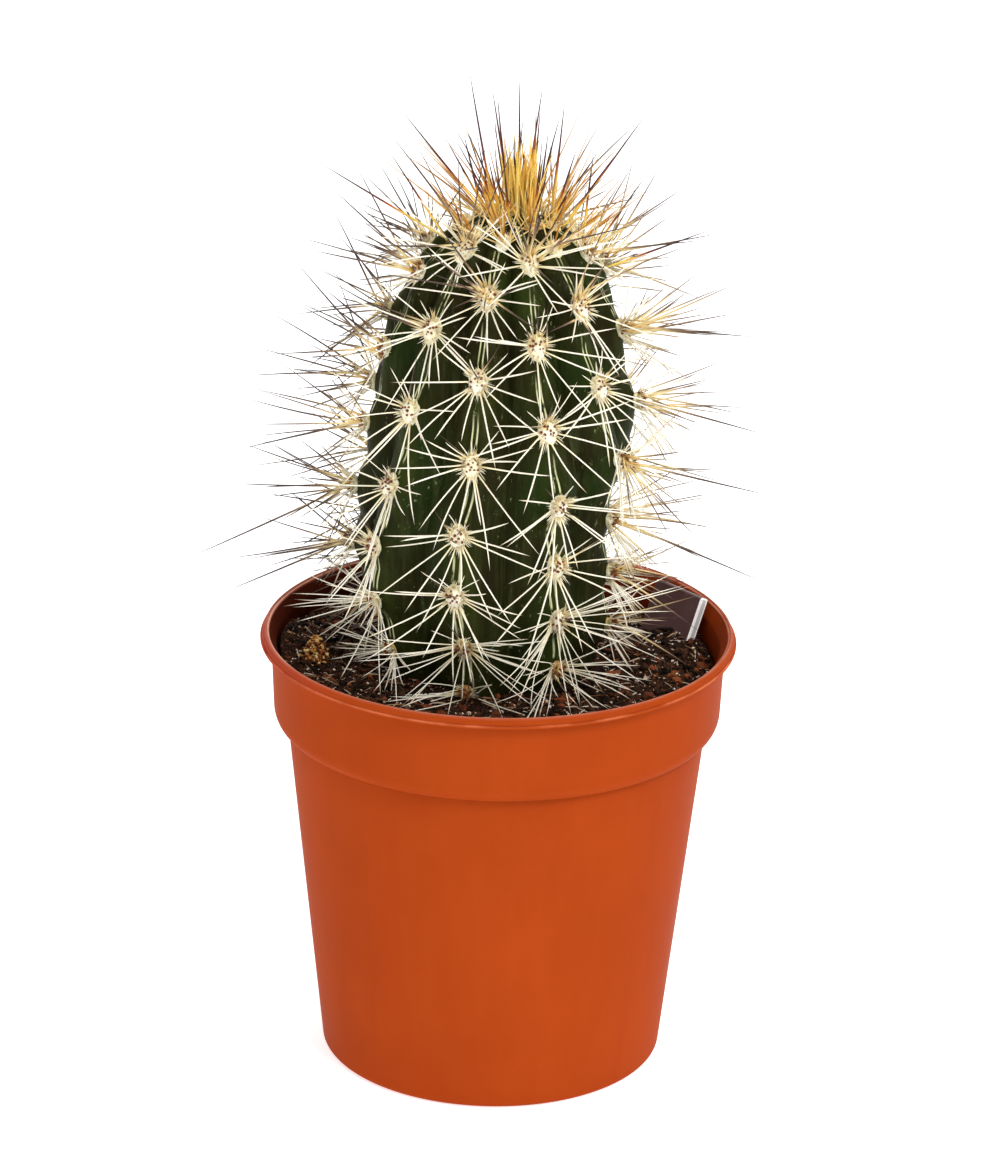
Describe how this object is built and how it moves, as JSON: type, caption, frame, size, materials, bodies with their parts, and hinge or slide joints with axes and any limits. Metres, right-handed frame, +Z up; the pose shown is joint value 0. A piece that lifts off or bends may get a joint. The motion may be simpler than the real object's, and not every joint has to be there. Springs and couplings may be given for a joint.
{
  "type": "potted tall cactus",
  "caption": "Young columnar cactus with ribs, woolly areoles and long needle spines, standing in soil in a round tapered plastic nursery pot with a plain plant label.",
  "frame": {"origin": "middle of the pot's flat underside, on the surface that the pot stands on", "axes": "+Z up along the pot's axis, -Y towards the front from which the plant is seen"},
  "size_m": [0.1216, 0.1101, 0.2273],
  "materials": {
    "pot_plastic": "satin",
    "potting_soil": "matte",
    "stem_skin": "satin",
    "spine_horn": "satin",
    "crown_horn": "satin",
    "label_plastic": "satin"
  },
  "bodies": {
    "root": {"pot": "pot_plastic", "soil": "potting_soil", "cactus_stem": "stem_skin", "plant_label": "label_plastic", "crown_spines": "crown_horn", "areole_rib01_row1": "spine_horn", "areole_rib01_row2": "spine_horn", "areole_rib01_row3": "spine_horn", "areole_rib01_row4": "spine_horn", "areole_rib01_row5": "spine_horn", "areole_rib02_row1": "spine_horn", "areole_rib02_row2": "spine_horn", "areole_rib02_row3": "spine_horn", "areole_rib02_row4": "spine_horn", "areole_rib02_row5": "spine_horn", "areole_rib03_row1": "spine_horn", "areole_rib03_row2": "spine_horn", "areole_rib03_row3": "spine_horn", "areole_rib03_row4": "spine_horn", "areole_rib03_row5": "spine_horn", "areole_rib04_row1": "spine_horn", "areole_rib04_row2": "spine_horn", "areole_rib04_row3": "spine_horn", "areole_rib04_row4": "spine_horn", "areole_rib04_row5": "spine_horn", "areole_rib05_row1": "spine_horn", "areole_rib05_row2": "spine_horn", "areole_rib05_row3": "spine_horn", "areole_rib05_row4": "spine_horn", "areole_rib05_row5": "spine_horn", "areole_rib06_row1": "spine_horn", "areole_rib06_row2": "spine_horn", "areole_rib06_row3": "spine_horn", "areole_rib06_row4": "spine_horn", "areole_rib06_row5": "spine_horn", "areole_rib07_row1": "spine_horn", "areole_rib07_row2": "spine_horn", "areole_rib07_row3": "spine_horn", "areole_rib07_row4": "spine_horn", "areole_rib07_row5": "spine_horn", "areole_rib08_row1": "spine_horn", "areole_rib08_row2": "spine_horn", "areole_rib08_row3": "spine_horn", "areole_rib08_row4": "spine_horn", "areole_rib08_row5": "spine_horn", "areole_rib09_row1": "spine_horn", "areole_rib09_row2": "spine_horn", "areole_rib09_row3": "spine_horn", "areole_rib09_row4": "spine_horn", "areole_rib09_row5": "spine_horn", "areole_rib10_row1": "spine_horn", "areole_rib10_row2": "spine_horn", "areole_rib10_row3": "spine_horn", "areole_rib10_row4": "spine_horn", "areole_rib10_row5": "spine_horn", "areole_rib11_row1": "spine_horn", "areole_rib11_row2": "spine_horn", "areole_rib11_row3": "spine_horn", "areole_rib11_row4": "spine_horn", "areole_rib11_row5": "spine_horn"}
  },
  "joints": []
}
